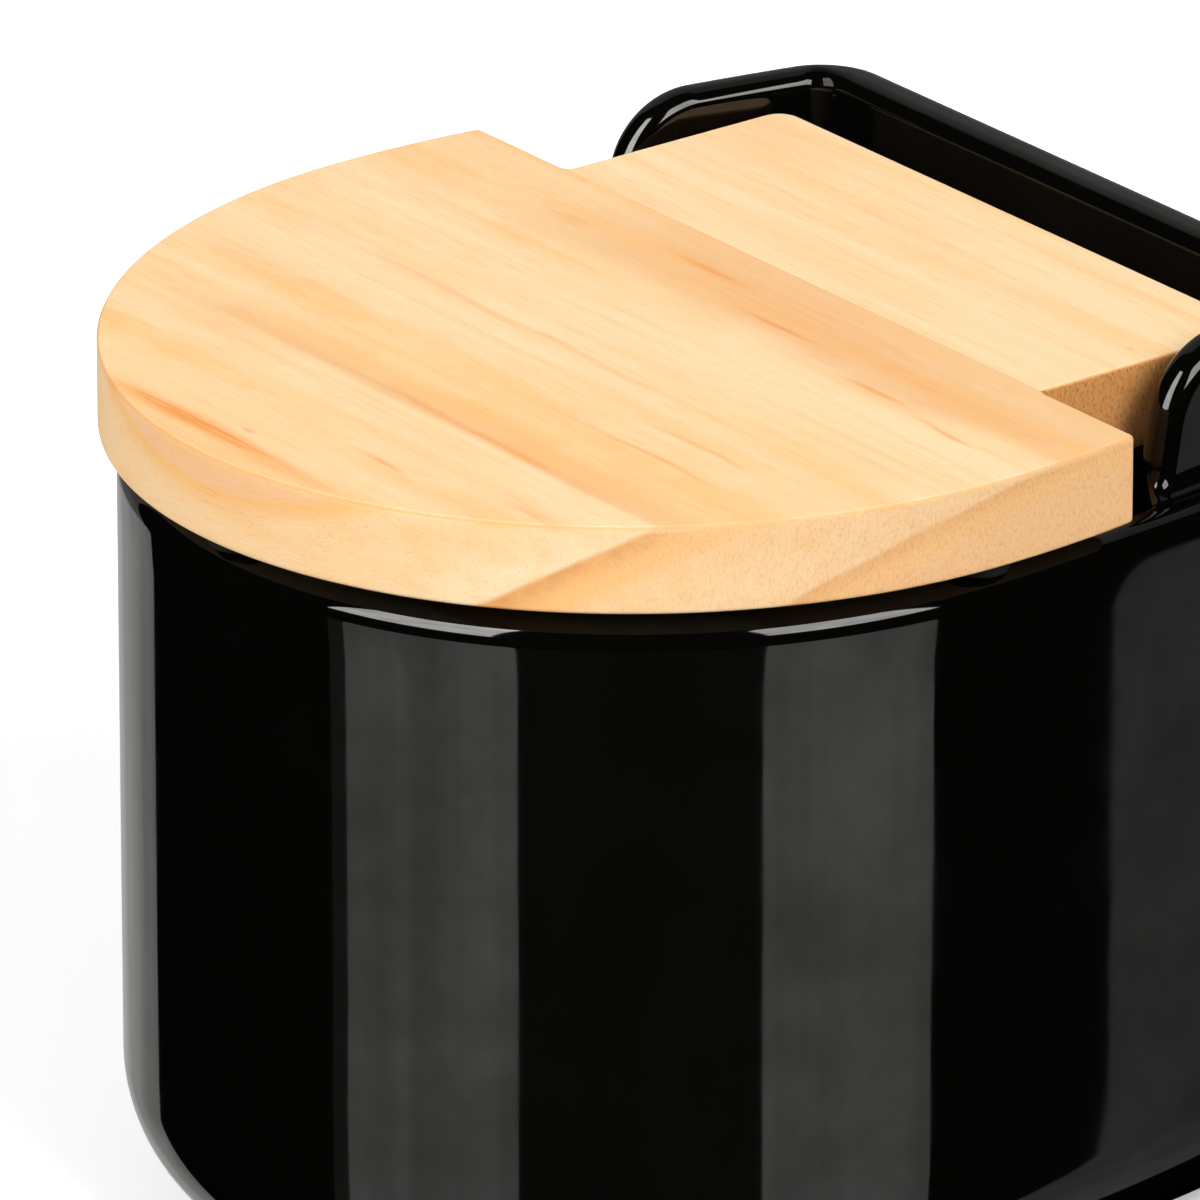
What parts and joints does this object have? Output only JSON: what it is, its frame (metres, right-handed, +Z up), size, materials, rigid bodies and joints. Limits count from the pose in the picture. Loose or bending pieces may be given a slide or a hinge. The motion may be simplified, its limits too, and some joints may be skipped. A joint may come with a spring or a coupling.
{
  "type": "salt box",
  "caption": "Oval-fronted black glazed salt box with a flat back, a raised collar, and a wooden lid of two glued boards that swings up on pins held between the collar's cheeks.",
  "frame": {"origin": "middle of the footprint box, on the table under the foot ring", "axes": "+Z up, the oval front towards -Y, the flat back and hinge towards +Y, +X to the right seen from the front"},
  "size_m": [0.13, 0.1416, 0.1139],
  "materials": {
    "black_glaze": "high gloss black glaze, bare fired clay on the foot ring",
    "pale_wood": "fine sanded, thin clear oil",
    "soft_rubber": "soft matte black",
    "bush_plastic": "turned matte",
    "pin_steel": "drawn"
  },
  "bodies": {
    "pot": {"pot": "black_glaze", "hinge_bush_left": "bush_plastic", "hinge_bush_right": "bush_plastic"},
    "lid": {"lid_board": "pale_wood", "lid_tongue": "pale_wood", "lid_bumper_front": "soft_rubber", "lid_bumper_left": "soft_rubber", "lid_bumper_right": "soft_rubber", "hinge_pin_left": "pin_steel", "hinge_pin_right": "pin_steel"}
  },
  "joints": [
    {"name": "lid_hinge", "type": "hinge", "parent": "pot", "child": "lid", "pos_m": [0, 0.04445, 0.1045], "axis": [-1, 0, 0], "range_deg": [0, 120]}
  ]
}
